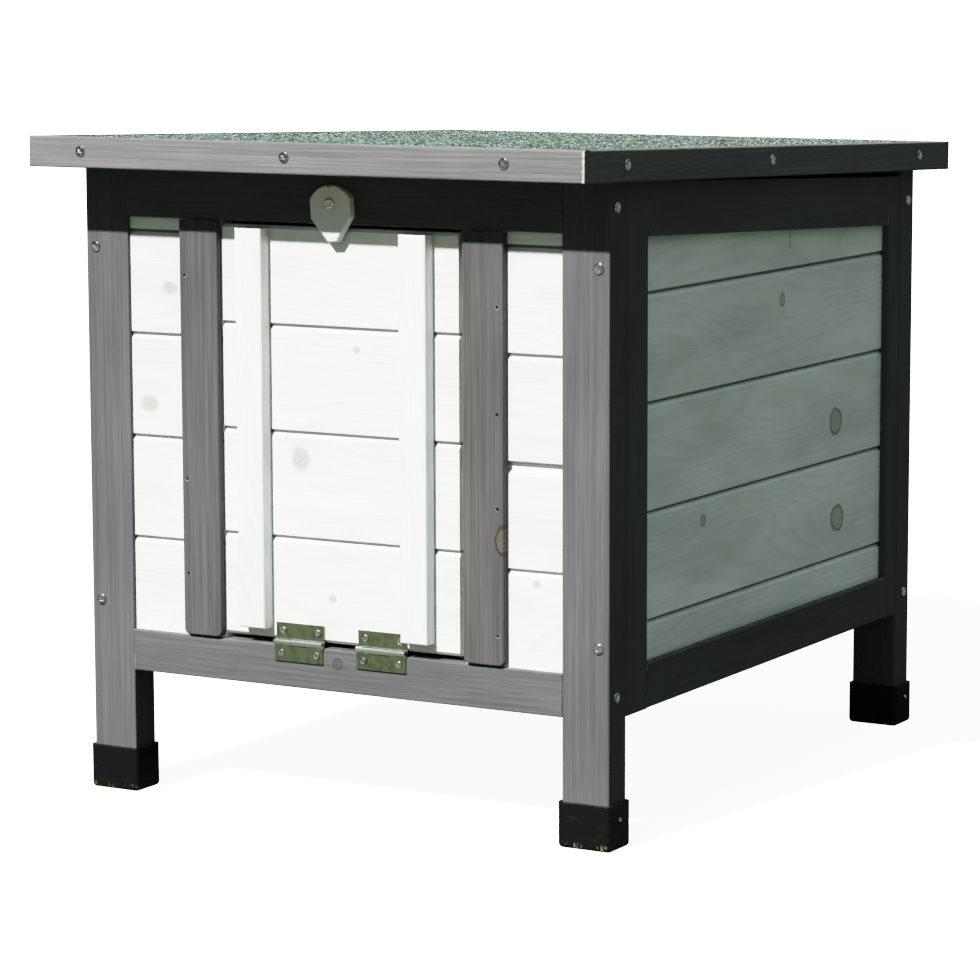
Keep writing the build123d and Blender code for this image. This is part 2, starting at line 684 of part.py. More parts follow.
# ---------------------------------------------------------------- floor and cleats
floor_x = side_inner - floor_gap
floor_y = (front + rail_thickness + floor_gap, rear - rail_thickness - floor_gap)
floor_z = (floor_top - floor_thickness, floor_top)
floor = block((-floor_x, floor_x), floor_y, floor_z)
for side in (1, -1):
    for y0 in (front, rear - leg_depth):
        notch_x = sorted((side * (leg_inner - floor_gap), side * half_width))
        notch_y = (y0 - floor_gap, y0 + leg_depth + floor_gap)
        floor -= block(notch_x, notch_y, (0, frame_height))
add("floor_panel", floor)
cleat_z = (floor_z[0] - cleat_size, floor_z[0])
side_cleat_y = (front_depth[1] + cleat_size, rear_depth[0] - cleat_size)
side_cleat = block((side_inner - cleat_size, side_inner), side_cleat_y, cleat_z)
add("front_floor_cleat", block(span, (front_depth[1], front_depth[1] + cleat_size), cleat_z))
add("rear_floor_cleat", block(span, (rear_depth[0] - cleat_size, rear_depth[0]), cleat_z))
add("right_floor_cleat", side_cleat)
add("left_floor_cleat", mirrored(side_cleat))

# ---------------------------------------------------------------- write the parts
for name, solids in parts.items():
    shape = solids[0] if len(solids) == 1 else Compound(children=solids)
    export_step(shape, f"parts/{name}.step")
print(len(parts), "nodes,", sum(len(solids) for solids in parts.values()), "solids")
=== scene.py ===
"""Studio scene of a small painted wooden pet hutch, dressed round its fixed CAD frame.

Metres, +Z up, the door faces -Y. Every CAD node keeps its place; this file gives the timber, felt, plastic
and metal their finishes, lays the granules of the felt, and sets the floor, the lights and the camera.
"""
import math
import random
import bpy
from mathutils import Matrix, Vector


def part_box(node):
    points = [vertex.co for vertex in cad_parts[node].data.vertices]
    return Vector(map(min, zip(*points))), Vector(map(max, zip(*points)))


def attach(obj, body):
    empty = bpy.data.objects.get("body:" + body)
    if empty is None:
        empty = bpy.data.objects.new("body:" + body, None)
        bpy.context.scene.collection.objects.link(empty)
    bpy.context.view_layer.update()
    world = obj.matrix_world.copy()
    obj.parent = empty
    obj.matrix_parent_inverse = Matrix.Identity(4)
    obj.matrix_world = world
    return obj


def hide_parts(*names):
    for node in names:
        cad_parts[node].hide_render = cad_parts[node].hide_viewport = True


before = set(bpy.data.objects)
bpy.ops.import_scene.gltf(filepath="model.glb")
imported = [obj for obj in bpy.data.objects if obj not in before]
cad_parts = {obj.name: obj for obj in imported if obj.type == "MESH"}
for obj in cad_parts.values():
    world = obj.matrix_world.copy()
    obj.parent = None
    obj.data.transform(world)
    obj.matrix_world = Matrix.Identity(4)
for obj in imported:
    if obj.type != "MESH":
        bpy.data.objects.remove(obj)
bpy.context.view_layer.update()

import bmesh
import bpy
from mathutils import Vector, noise

bl_info = {
    "name": "Pet Hutch Finishes",
    "version": (1, 0, 0),
    "blender": (4, 5, 0),
    "location": "View3D > Sidebar > Hutch",
    "description": "Paint, felt, fittings and studio for a small wooden pet hutch",
    "category": "Object",
}

# How bright light shows: deep shade a little deeper, and sunlit white paint eased to keep its detail.
LIGHT_CURVE = (
    (0.03, 0.0165), (0.08, 0.065), (0.16, 0.156), (0.25, 0.25), (0.5, 0.48), (0.75, 0.65), (1.0, 0.77),
    (1.5, 0.89), (2.0, 0.95), (2.7, 0.985),
)
MM = 0.001

# ------------------------------------------------------------------ pieces of each finish
# Timber of each piece, by the way its grain runs.
GREY_UPRIGHT = (
    "front_left_leg", "front_right_leg", "rear_left_leg", "rear_right_leg",
    "right_side_front_stile", "right_side_rear_stile", "left_side_front_stile", "left_side_rear_stile",
)
GREY_ACROSS = ("rear_bottom_rail", "front_top_rail", "rear_top_rail")
GREY_ALONG = (
    "right_side_bottom_rail", "right_side_top_rail", "left_side_bottom_rail", "left_side_top_rail",
)
BARE_ALONG = ("floor_panel", "right_floor_cleat", "left_floor_cleat", "roof_deck")
BARE_ACROSS = ("front_floor_cleat", "rear_floor_cleat", "deck_battens")
BARE_UPRIGHT = ("left_jamb_batten", "right_jamb_batten")
# Plastic and metal fittings.
FOOT_CAPS = ("front_left_foot_cap", "front_right_foot_cap", "rear_left_foot_cap", "rear_right_foot_cap")
DOOR_HINGES = ("door_hinge_upper_leaves", "door_hinge_lower_leaves", "door_hinge_pins")
ROOF_HINGES = ("roof_hinge_frame_leaves", "roof_hinge_roof_leaves", "roof_hinge_pins")
SCREWS = (
    "frame_screws", "fascia_screws", "turn_button_screw", "foot_cap_tacks", "door_hinge_upper_screws",
    "door_hinge_lower_screws", "roof_hinge_frame_screws", "roof_hinge_roof_screws",
)
# Joints between the boards of each panel, in millimetres above its lowest edge.
FRONT_JOINTS = (68.8, 138.2, 207.6, 277.0)
SIDE_JOINTS = (30.7, 101.7, 172.7, 243.7)
JOINTS = {
    "front_left_boards": FRONT_JOINTS, "front_right_boards": FRONT_JOINTS,
    "door_boards": (67.9, 138.4, 208.9), "rear_boards": (46.8, 116.2, 185.6, 255.0),
    "right_side_boards": SIDE_JOINTS, "left_side_boards": SIDE_JOINTS,
}
# Knots of each panel as (place, radius), in millimetres from its lowest corner: along the boards, then up.
FRONT_PANELS = (
    ("front_left_boards", "Left bay boards",
     (((38, 240), (6, 4.5)), ((20, 161), (7.5, 6)), ((62, 40), (3.5, 3)))),
    ("front_right_boards", "Right bay boards", (((52, 62), (3.0, 2.6)), ((20, 205), (2.6, 2.2)))),
    ("door_boards", "Door boards",
     (((59.8, 121.5), (7.5, 8.0)), ((104, 196), (3.0, 2.4)), ((84, 30), (3.2, 2.6)))),
    ("rear_boards", "Rear boards", (((70, 90), (8, 6)), ((250, 200), (7, 5)), ((180, 40), (5, 4)))),
)
SIDE_PANELS = (
    ("right_side_boards", "Right side boards",
     (((215, 224), (4, 4.5)), ((305, 130), (9.5, 9)), ((309, 60), (10, 9)), ((95, 87), (4, 4)))),
    ("left_side_boards", "Left side boards",
     (((120, 190), (8, 10)), ((300, 60), (6, 7)), ((60, 100), (4, 4)))),
)

# ------------------------------------------------------------------ fine sizes, shades and shares
# Sizes are in metres. A pair of limits runs from where an effect has just faded out to where it is full.
KNOT_DEPTH = 0.05                  # a panel's knot goes right through its boards
# Painted shadow in the grooves between the boards:
SEAM_SHADOW_RISE = 0.0009                 # middle of the painted shadow line in a joint's groove, above the joint
SEAM_SHADOW_LIMITS = (0.0011, 0.0007)
SEAM_SHADOW_SHARE = 0.85
SEAM_SHADOW_COLOUR = (0.06, 0.062, 0.058)
CRACK_HEIGHT = 0.015
CRACK_WANDER = 0.003               # to each side
CRACK_TAPER = 0.002                # at each end
CRACK_LIMITS = (0.0006, 0.0002)
CRACK_SHADE = (0.03, 0.03, 0.03)
CHIP_REACH = (0.0014, 0.0007)      # in from the end of the timber
CHIP_DEPTH = (0.0019, 0.0013)      # in from its face
CHIP_SHADE = (0.62, 0.58, 0.49)
TIMBER_DUST = (0.45, 0.42, 0.36)
STAIN_SHARE = 0.6
BARREL_HIGHLIGHT_LIMITS = (0.0026, 0.0020)   # painted highlight band, above and below the middle of a hinge barrel
MUD_LIMITS = (0.006, 0.0005)       # dried mud on the foot caps, above the floor
FELT_STEP = 0.0022                 # between the points of the felt's top
FELT_SEED = 7
FELT_GRAIN = 380.0                 # how closely its small rises follow each other
FELT_SWELL_SPREAD = 9.0            # and its broad swells
FELT_SWELL = 0.0003
FELT_RIM_FALLS = (0.0005, 0.0002)  # extra fall of the outermost row of points and of the next one
FELT_DEEPEST = 0.0013              # keeps the top above the underside
CORNER_REACH = 0.001               # which corners of the slab belong to its front or its rear
FLOOR_REACH = 30.0                 # middle of the studio floor to its edges
SKY_LEVELS = (0.1, 2.4)            # shares of the even light at the horizon and overhead
KEY_TINT = (1.0, 0.985, 0.96)
SENSOR_WIDTH = 36.0                # millimetres
VIEW_REACH = 200.0


# ------------------------------------------------------------------ wiring of node trees
class Wiring:
    """Short way to add and join the nodes of one tree."""

    def __init__(self, tree):
        self.tree = tree

    def node(self, kind, values=None, **settings):
        made = self.tree.nodes.new(kind)
        for name, value in settings.items():
            setattr(made, name, value)
        for socket, value in (values or {}).items():
            self.feed(made.inputs[socket], value)
        return made

    def feed(self, socket, value):
        if isinstance(value, bpy.types.NodeSocket):
            self.tree.links.new(value, socket)
        else:
            socket.default_value = value

    def maths(self, operation, *values):
        made = self.node("ShaderNodeMath", operation=operation)
        for socket, value in zip(made.inputs, values):
            self.feed(socket, value)
        return made.outputs["Value"]

    def vector(self, operation, *values):
        made = self.node("ShaderNodeVectorMath", operation=operation)
        for socket, value in zip(made.inputs, values):
            self.feed(socket, value)
        return made.outputs["Value" if operation in ("LENGTH", "DOT_PRODUCT") else "Vector"]

    def scaled(self, vector, amount):
        made = self.node("ShaderNodeVectorMath", {"Vector": vector, "Scale": amount}, operation="SCALE")
        return made.outputs["Vector"]

    def parts(self, vector):
        return self.node("ShaderNodeSeparateXYZ", {"Vector": vector}).outputs

    def span(self, value, low, high, to_low=0.0, to_high=1.0, smooth=True):
        made = self.node(
            "ShaderNodeMapRange", {"Value": value},
            interpolation_type="SMOOTHSTEP" if smooth else "LINEAR", clamp=True,
        )
        for socket, number in zip(("From Min", "From Max", "To Min", "To Max"), (low, high, to_low, to_high)):
            self.feed(made.inputs[socket], number)
        return made.outputs["Result"]

    def blend(self, amount, first, second, blend_type="MIX"):
        made = self.node("ShaderNodeMix", data_type="RGBA", blend_type=blend_type)
        self.feed(made.inputs["Factor"], amount)
        for socket, value in ((made.inputs[6], first), (made.inputs[7], second)):
            self.feed(socket, value if isinstance(value, bpy.types.NodeSocket) else (*value[:3], 1.0))
        return made.outputs[2]

    def cloud(self, vector, scale=1.0, detail=2.0, rough=0.55):
        values = {"Vector": vector, "Scale": scale, "Detail": detail, "Roughness": rough}
        return self.node("ShaderNodeTexNoise", values).outputs["Fac"]

    def group(self, tree, values):
        return self.node("ShaderNodeGroup", values, node_tree=tree)


def effect_group(name, inputs, outputs):
    """Empty shader node group with named sockets, its wiring, its input node and its output node."""
    tree = bpy.data.node_groups.new(name, "ShaderNodeTree")
    for label, kind, value in inputs:
        socket = tree.interface.new_socket(label, in_out="INPUT", socket_type=kind)
        if value is not None:
            socket.default_value = value
    for label, kind in outputs:
        tree.interface.new_socket(label, in_out="OUTPUT", socket_type=kind)
    wires = Wiring(tree)
    return tree, wires, wires.node("NodeGroupInput"), wires.node("NodeGroupOutput")


NUMBER, ARROW = "NodeSocketFloat", "NodeSocketVector"


def timber_grain_group():
    """Streaks, fibres and the coordinate of the growth lines of sawn timber, along X of its vector."""
    tree, w, given, out = effect_group(
        "Timber grain",
        [("Vector", ARROW, None), ("Line spacing", NUMBER, 0.008), ("Wander", NUMBER, 1.0)],
        [("Streaks", NUMBER), ("Fibres", NUMBER), ("Lines", NUMBER), ("Stain", NUMBER)],
    )
    place = given.outputs["Vector"]
    streaks = w.cloud(w.vector("MULTIPLY", place, (9.0, 460.0, 460.0)), detail=4.0, rough=0.6)
    fibres = w.cloud(w.vector("MULTIPLY", place, (55.0, 1500.0, 1500.0)), detail=2.0, rough=0.6)
    stain = w.cloud(w.vector("MULTIPLY", place, (7.0, 22.0, 22.0)), detail=3.0)
    bend = w.cloud(w.vector("MULTIPLY", place, (3.2, 13.0, 13.0)), detail=1.5, rough=0.4)
    parts = w.parts(place)
    across = w.maths("ADD", parts["Y"], w.maths("MULTIPLY", parts["Z"], 0.7))
    lines = w.maths("DIVIDE", across, given.outputs["Line spacing"])
    bend = w.maths("MULTIPLY", w.maths("MULTIPLY", bend, given.outputs["Wander"]), 11.0)
    lines = w.maths("ADD", lines, bend)
    for label, value in (("Streaks", streaks), ("Fibres", fibres), ("Lines", lines), ("Stain", stain)):
        w.feed(out.inputs[label], value)
    return tree


def knot_group():
    """One knot: bends the growth lines round its centre and adds to the mask of the knots."""
    tree, w, given, out = effect_group(
        "Timber knot",
        [("Vector", ARROW, None), ("Centre", ARROW, None), ("Radius", ARROW, (0.01, 0.01, 0.01)),
         ("Lines", NUMBER, 0.0), ("Mask", NUMBER, 0.0), ("Rim", NUMBER, 0.0)],
        [("Lines", NUMBER), ("Mask", NUMBER), ("Rim", NUMBER)],
    )
    apart = w.vector("SUBTRACT", given.outputs["Vector"], given.outputs["Centre"])
    apart = w.vector("DIVIDE", apart, given.outputs["Radius"])
    wobble = w.cloud(w.scaled(given.outputs["Vector"], 120.0), detail=2.0)
    far = w.maths("MULTIPLY", w.vector("LENGTH", apart), w.span(wobble, 0.2, 0.8, 0.86, 1.14, False))
    halo = w.span(far, 3.0, 0.7)
    ringed = w.maths("MULTIPLY", far, 3.4)
    lines = w.node("ShaderNodeMix", data_type="FLOAT")
    w.feed(lines.inputs["Factor"], halo)
    w.feed(lines.inputs[2], given.outputs["Lines"])
    w.feed(lines.inputs[3], ringed)
    core = w.span(far, 1.0, 0.72)
    rim = w.maths("MULTIPLY", w.span(far, 0.72, 0.95), w.span(far, 1.2, 1.0))
    w.feed(out.inputs["Lines"], lines.outputs[0])
    w.feed(out.inputs["Mask"], w.maths("MAXIMUM", given.outputs["Mask"], core))
    w.feed(out.inputs["Rim"], w.maths("MAXIMUM", given.outputs["Rim"], rim))
    return tree


def growth_line_group():
    """Sharp-edged late wood lines from the coordinate of the growth lines."""
    tree, w, given, out = effect_group("Growth lines", [("Lines", NUMBER, 0.0)], [("Late wood", NUMBER)])
    saw = w.maths("FRACT", given.outputs["Lines"])
    late = w.maths("MULTIPLY", w.span(saw, 0.3, 0.93), w.span(saw, 1.0, 0.94))
    w.feed(out.inputs["Late wood"], late)
    return tree


def edge_wear_and_highlight_group():
    """Mask of the edges that rub bare, which some finishes also use to paint a highlight on edges, and a
    normal that rounds every hard edge.
    """
    tree, w, given, out = effect_group(
        "Edge wear and highlight",
        [("Vector", ARROW, None), ("Width", NUMBER, 0.0012), ("Amount", NUMBER, 0.5)],
        [("Mask", NUMBER), ("Normal", ARROW)],
    )
    rounded = w.node("ShaderNodeBevel", {"Radius": given.outputs["Width"]}, samples=6)
    flat = w.node("ShaderNodeNewGeometry").outputs["True Normal"]
    turn = w.maths("SUBTRACT", 1.0, w.vector("DOT_PRODUCT", rounded.outputs["Normal"], flat))
    patches = w.cloud(w.scaled(given.outputs["Vector"], 95.0), detail=4.0, rough=0.7)
    threshold = w.span(given.outputs["Amount"], 0.0, 1.0, 0.72, 0.32, False)
    broken = w.span(patches, threshold, w.maths("ADD", threshold, 0.12))
    w.feed(out.inputs["Mask"], w.maths("MULTIPLY", w.span(turn, 0.015, 0.12), broken))
    w.feed(out.inputs["Normal"], rounded.outputs["Normal"])
    return tree


def settled_dust_group():
    """Mask of fine dust that settles on faces that look up."""
    tree, w, given, out = effect_group(
        "Settled dust", [("Vector", ARROW, None), ("Amount", NUMBER, 0.3)], [("Mask", NUMBER)]
    )
    upward = w.span(w.parts(w.node("ShaderNodeNewGeometry").outputs["Normal"])["Z"], 0.1, 0.95)
    patches = w.span(w.cloud(w.scaled(given.outputs["Vector"], 60.0), detail=5.0, rough=0.65), 0.35, 0.75)
    settled = w.maths("MULTIPLY", upward, patches)
    w.feed(out.inputs["Mask"], w.maths("MULTIPLY", settled, given.outputs["Amount"]))
    return tree


EFFECTS = {}


def effects():
    """The shared node groups, built once."""
    if not EFFECTS:
        EFFECTS.update(
            grain=timber_grain_group(), knot=knot_group(), lines=growth_line_group(),
            edges=edge_wear_and_highlight_group(), dust=settled_dust_group(),
        )
    return EFFECTS


# ------------------------------------------------------------------ materials
def new_material(name):
    """Material with a Principled shader, and the wiring to finish it."""
    material = bpy.data.materials.new(name)
    material.use_nodes = True
    w = Wiring(material.node_tree)
    shader = material.node_tree.nodes["Principled BSDF"]
    place = w.node("ShaderNodeTexCoord").outputs["Object"]
    return material, w, shader, place


GRAIN_ORDER = {"X": ("X", "Z", "Y"), "Y": ("Y", "Z", "X"), "Z": ("Z", "X", "Y")}


def along_grain(w, place, axis, joints):
    """The place with its X along the grain, moved on at each joint so that no two boards match."""
    parts = w.parts(place)
    values = {name: parts[source] for name, source in zip("XYZ", GRAIN_ORDER[axis])}
    turned = w.node("ShaderNodeCombineXYZ", values).outputs["Vector"]
    for joint in joints:
        above = w.maths("GREATER_THAN", parts["Z"], joint)
        turned = w.vector("ADD", turned, w.scaled((0.73, 0.19, 0.31), above))
    return turned


def with_crack(w, place, colour, start):
    """Colour with a thin wandering crack that rises from a place."""
    parts = w.parts(w.vector("SUBTRACT", place, start))
    drift = w.cloud(w.scaled(place, 70.0), detail=2.0)
    off = w.maths("ADD", parts["Y"], w.span(drift, 0.0, 1.0, -CRACK_WANDER, CRACK_WANDER, False))
    across = w.span(w.maths("ABSOLUTE", off), *CRACK_LIMITS)
    along = w.maths("MULTIPLY", w.span(parts["Z"], 0.0, CRACK_TAPER),
                    w.span(parts["Z"], CRACK_HEIGHT, CRACK_HEIGHT - CRACK_TAPER))
    return w.blend(w.maths("MULTIPLY", across, along), colour, CRACK_SHADE)


def with_seam_shadows(w, place, colour, joints):
    """Colour with a painted shadow line at each joint between boards, standing for the shade in its groove.
    """
    level, seam_shadow = w.parts(place)["Z"], 0.0
    for joint in joints:
        off = w.maths("ABSOLUTE", w.maths("SUBTRACT", level, joint + SEAM_SHADOW_RISE))
        seam_shadow = w.maths("MAXIMUM", seam_shadow, w.span(off, *SEAM_SHADOW_LIMITS))
    return w.blend(w.maths("MULTIPLY", seam_shadow, SEAM_SHADOW_SHARE), colour, SEAM_SHADOW_COLOUR)


def with_chip(w, place, colour, end, face):
    """Colour with the paint chipped off the upright front arris at one end of the timber."""
    parts = w.parts(place)
    ragged = w.cloud(w.scaled(place, 420.0), detail=3.0, rough=0.7)
    reach = w.maths("ADD", parts["X"], w.span(ragged, 0.3, 0.7, -0.0009, 0.0007, False))
    depth = w.maths("ADD", parts["Y"], w.span(ragged, 0.3, 0.7, 0.0006, -0.0006, False))
    near_end = w.span(reach, *(end - limit for limit in CHIP_REACH))
    near_face = w.span(depth, *(face + limit for limit in CHIP_DEPTH))
    return w.blend(w.maths("MULTIPLY", near_end, near_face), colour, CHIP_SHADE)


def timber(name, axis, paint, thin, line_colour, wear_and_highlight_colour, knots=(), knot_colour=(0.2, 0.15, 0.1),
           knot_strength=0.8, knot_ring=0.6, spacing=0.008, wander=1.0, streak=0.6, line=0.3, wear=0.5,
           wear_and_highlight_width=0.0013, relief=0.35, roughness=(0.5, 0.68), gloss=0.4, dust=0.15, joints=(),
           crack=None, bare_end=None):
    """Painted or bare softwood: streaks, fibres, growth lines, knots, pale edges (rubbed on grey and bare
    timber, a painted highlight on white paint) and dust.
    """
    shared = effects()
    material, w, shader, place = new_material(name)
    grain = w.group(shared["grain"], {
        "Vector": along_grain(w, place, axis, joints), "Line spacing": spacing, "Wander": wander})
    lines, mask, rim = grain.outputs["Lines"], 0.0, 0.0
    for centre, radius in knots:
        knot = w.group(shared["knot"], {
            "Vector": place, "Centre": centre, "Radius": radius, "Lines": lines, "Mask": mask, "Rim": rim})
        lines, mask, rim = knot.outputs["Lines"], knot.outputs["Mask"], knot.outputs["Rim"]
    late = w.group(shared["lines"], {"Lines": lines}).outputs["Late wood"]
    streaks = w.span(grain.outputs["Streaks"], 0.34, 0.68)
    fibres = w.span(grain.outputs["Fibres"], 0.3, 0.7)
    colour = w.blend(w.maths("MULTIPLY", streaks, streak), paint, thin)
    colour = w.blend(w.maths("MULTIPLY", late, line), colour, line_colour)
    shade = w.blend(w.span(grain.outputs["Stain"], 0.3, 0.7), (0.82, 0.82, 0.82), (1.14, 1.14, 1.14))
    colour = w.blend(STAIN_SHARE, colour, w.blend(1.0, colour, shade, "MULTIPLY"))
    dark_fibre = w.maths("MULTIPLY", w.maths("SUBTRACT", 1.0, fibres), 0.2 * streak)
    colour = w.blend(dark_fibre, colour, w.blend(1.0, colour, (0.45, 0.45, 0.46), "MULTIPLY"))
    if knots:
        inner = w.blend(late, knot_colour, [0.6 * c for c in knot_colour])
        colour = w.blend(w.maths("MULTIPLY", mask, knot_strength), colour, inner)
        colour = w.blend(w.maths("MULTIPLY", rim, knot_ring), colour, [0.4 * c for c in knot_colour])
    if crack is not None:
        colour = with_crack(w, place, colour, crack)
    # edges rubbed pale on grey and bare timber; on the white boards the pale edge colour is a painted
    # highlight
    edges = w.group(shared["edges"], {"Vector": place, "Width": wear_and_highlight_width, "Amount": wear})
    colour = w.blend(edges.outputs["Mask"], colour, wear_and_highlight_colour)
    # painted shadow lines in the grooves between the boards
    if joints:
        colour = with_seam_shadows(w, place, colour, joints)
    if bare_end is not None:
        colour = with_chip(w, place, colour, *bare_end)
    settled = w.group(shared["dust"], {"Vector": place, "Amount": dust}).outputs["Mask"]
    colour = w.blend(settled, colour, TIMBER_DUST)
    w.feed(shader.inputs["Base Color"], colour)
    w.feed(shader.inputs["Roughness"], w.span(streaks, 0.0, 1.0, *roughness, False))
    shader.inputs["Specular IOR Level"].default_value = gloss
    height = w.maths("ADD", w.maths("MULTIPLY", fibres, 0.5), w.maths("MULTIPLY", streaks, 0.6))
    height = w.maths("SUBTRACT", height, w.maths("MULTIPLY", late, -0.35))
    bump = w.node("ShaderNodeBump", {
        "Strength": relief, "Distance": 0.0004, "Height": height, "Normal": edges.outputs["Normal"]})
    w.feed(shader.inputs["Normal"], bump.outputs["Normal"])
    return material


def felt_material(looks):
    """Bitumen felt under a coat of green mineral granules."""
    shared = effects()
    material, w, shader, place = new_material("Green roofing felt")
    laid = w.vector("MULTIPLY", place, (1.0, 0.5, 1.0))
    fine = w.node("ShaderNodeTexVoronoi", {"Vector": laid, "Scale": 1.0 / looks.granule_size})
    coarse = w.node("ShaderNodeTexVoronoi", {"Vector": laid, "Scale": 0.6 / looks.granule_size})
    tone = w.node("ShaderNodeSeparateColor", {"Color": fine.outputs["Color"]}).outputs["Red"]
    patch = w.node("ShaderNodeSeparateColor", {"Color": coarse.outputs["Color"]}).outputs["Green"]
    colour = w.blend(tone, looks.felt_dark, looks.felt_green)
    colour = w.blend(w.span(tone, 0.58, 0.74), colour, looks.felt_light)
    colour = w.blend(w.span(patch, 0.66, 0.74), colour, (0.008, 0.014, 0.010))
    wash = w.cloud(place, 16.0, 4.0)
    colour = w.blend(w.span(wash, 0.3, 0.75, 0.0, 0.2), colour, looks.felt_green)
    gap = w.span(fine.outputs["Distance"], 0.45, 0.75)
    colour = w.blend(w.maths("MULTIPLY", gap, 0.7), colour, (0.007, 0.011, 0.009))
    dust = w.group(shared["dust"], {"Vector": place, "Amount": 0.08}).outputs["Mask"]
    colour = w.blend(dust, colour, (0.2, 0.2, 0.17))
    w.feed(shader.inputs["Base Color"], colour)
    w.feed(shader.inputs["Roughness"], w.span(tone, 0.0, 1.0, 0.72, 0.95, False))
    shader.inputs["Specular IOR Level"].default_value = 0.3
    height = w.maths("SUBTRACT", tone, w.maths("MULTIPLY", fine.outputs["Distance"], 0.9))
    bump = w.node("ShaderNodeBump", {"Strength": 0.8, "Distance": 0.0006, "Height": height})
    w.feed(shader.inputs["Normal"], bump.outputs["Normal"])
    return material


def plastic_material(looks):
    """Matte moulded plastic of the foot caps, scuffed, with dried mud round the foot."""
    shared = effects()
    material, w, shader, place = new_material("Black cap plastic")
    speckle = w.cloud(w.scaled(place, 900.0), detail=2.0)
    rubs = w.cloud(w.vector("MULTIPLY", place, (70.0, 70.0, 260.0)), detail=4.0, rough=0.7)
    scuffs = w.span(rubs, 0.55, 0.8)
    colour = w.blend(w.maths("MULTIPLY", scuffs, 0.5), looks.cap_black, (0.016, 0.016, 0.017))
    edges = w.group(shared["edges"], {"Vector": place, "Width": 0.001, "Amount": 0.35})
    colour = w.blend(w.maths("MULTIPLY", edges.outputs["Mask"], 0.5), colour, (0.03, 0.03, 0.03))
    flecks = w.cloud(w.vector("MULTIPLY", place, (520.0, 520.0, 190.0)), detail=4.0, rough=0.7)
    mud = w.maths("MULTIPLY", w.span(w.parts(place)["Z"], *MUD_LIMITS), w.span(flecks, 0.56, 0.66))
    colour = w.blend(mud, colour, (0.30, 0.29, 0.17))
    dust = w.group(shared["dust"], {"Vector": place, "Amount": 0.25}).outputs["Mask"]
    colour = w.blend(dust, colour, (0.08, 0.08, 0.075))
    w.feed(shader.inputs["Base Color"], colour)
    w.feed(shader.inputs["Roughness"], w.span(scuffs, 0.0, 1.0, 0.42, 0.7, False))
    shader.inputs["Specular IOR Level"].default_value = 0.2
    bump = w.node("ShaderNodeBump", {
        "Strength": 0.25, "Distance": 0.0002, "Height": speckle, "Normal": edges.outputs["Normal"]})
    w.feed(shader.inputs["Normal"], bump.outputs["Normal"])
    return material


def zinc_material(name, tint, dull, rubbed_and_glint, roughness, rolling, dirt, edge=(0.0004, 0.6, 0.6), barrel=None):
    """Zinc plated steel: rolled, pale on its edges from rubbing and a painted highlight, duller where it has
    weathered, with a painted highlight band round a hinge barrel where one is given.
    """
    shared = effects()
    material, w, shader, place = new_material(name)
    rolled = w.cloud(w.vector("MULTIPLY", place, (60.0, 900.0, 900.0)), detail=3.0, rough=0.6)
    cloudy = w.span(w.cloud(w.scaled(place, 210.0), detail=4.0, rough=0.65), 0.4, 0.72)
    colour = w.blend(w.maths("MULTIPLY", cloudy, 0.85), tint, dull)
    width, amount, share = edge
    edges = w.group(shared["edges"], {"Vector": place, "Width": width, "Amount": amount})
    # edges rubbed pale, which is also a painted highlight on the hinges and the screws
    colour = w.blend(w.maths("MULTIPLY", edges.outputs["Mask"], share), colour, rubbed_and_glint)
    # painted highlight: a band round the middle of a hinge barrel
    if barrel is not None:
        off = w.maths("ABSOLUTE", w.maths("SUBTRACT", w.parts(place)["Z"], barrel))
        painted_highlight = w.maths("MULTIPLY", w.span(off, *BARREL_HIGHLIGHT_LIMITS), w.span(cloudy, 1.0, 0.2, 0.45, 0.95, False))
        colour = w.blend(painted_highlight, colour, rubbed_and_glint)
    spots = w.span(w.cloud(w.scaled(place, 520.0), detail=3.0, rough=0.7), 0.66, 0.72)
    rust = w.maths("MULTIPLY", spots, dirt)
    colour = w.blend(rust, colour, (0.16, 0.09, 0.045))
    w.feed(shader.inputs["Base Color"], colour)
    w.feed(shader.inputs["Metallic"], w.span(rust, 0.0, 1.0, 1.0, 0.35, False))
    low, high = roughness
    uneven = w.maths("ADD", w.maths("MULTIPLY", cloudy, 0.6), w.maths("MULTIPLY", rolled, 0.4))
    w.feed(shader.inputs["Roughness"], w.span(uneven, 0.15, 0.85, low, high, False))
    bump = w.node("ShaderNodeBump", {
        "Strength": rolling, "Distance": 0.0001, "Height": rolled, "Normal": edges.outputs["Normal"]})
    w.feed(shader.inputs["Normal"], bump.outputs["Normal"])
    return material


def finish(names, material):
    """Give these CAD nodes one material."""
    for name in names:
        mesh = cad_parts[name].data
        mesh.materials.clear()
        mesh.materials.append(material)


def offset_from(node, x=None, y=None, z=None):
    """A place measured in millimetres from a node's lowest corner, or at its middle where not given."""
    low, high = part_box(node)
    given = (x, y, z)
    return tuple((low[i] + high[i]) / 2 if v is None else low[i] + v * MM for i, v in enumerate(given))


def panel_knots(node, axis, knots):
    """Knots through a panel whose boards run along an axis."""
    placed = []
    for (along, rise), (length, height) in knots:
        if axis == "X":
            placed.append((offset_from(node, x=along, z=rise), (length * MM, KNOT_DEPTH, height * MM)))
        else:
            placed.append((offset_from(node, y=along, z=rise), (KNOT_DEPTH, length * MM, height * MM)))
    return placed


# ------------------------------------------------------------------ settings
def colour_setting(name, description, value):
    return bpy.props.FloatVectorProperty(
        name=name, description=description, default=value, size=3, min=0.0, max=1.0, subtype="COLOR")


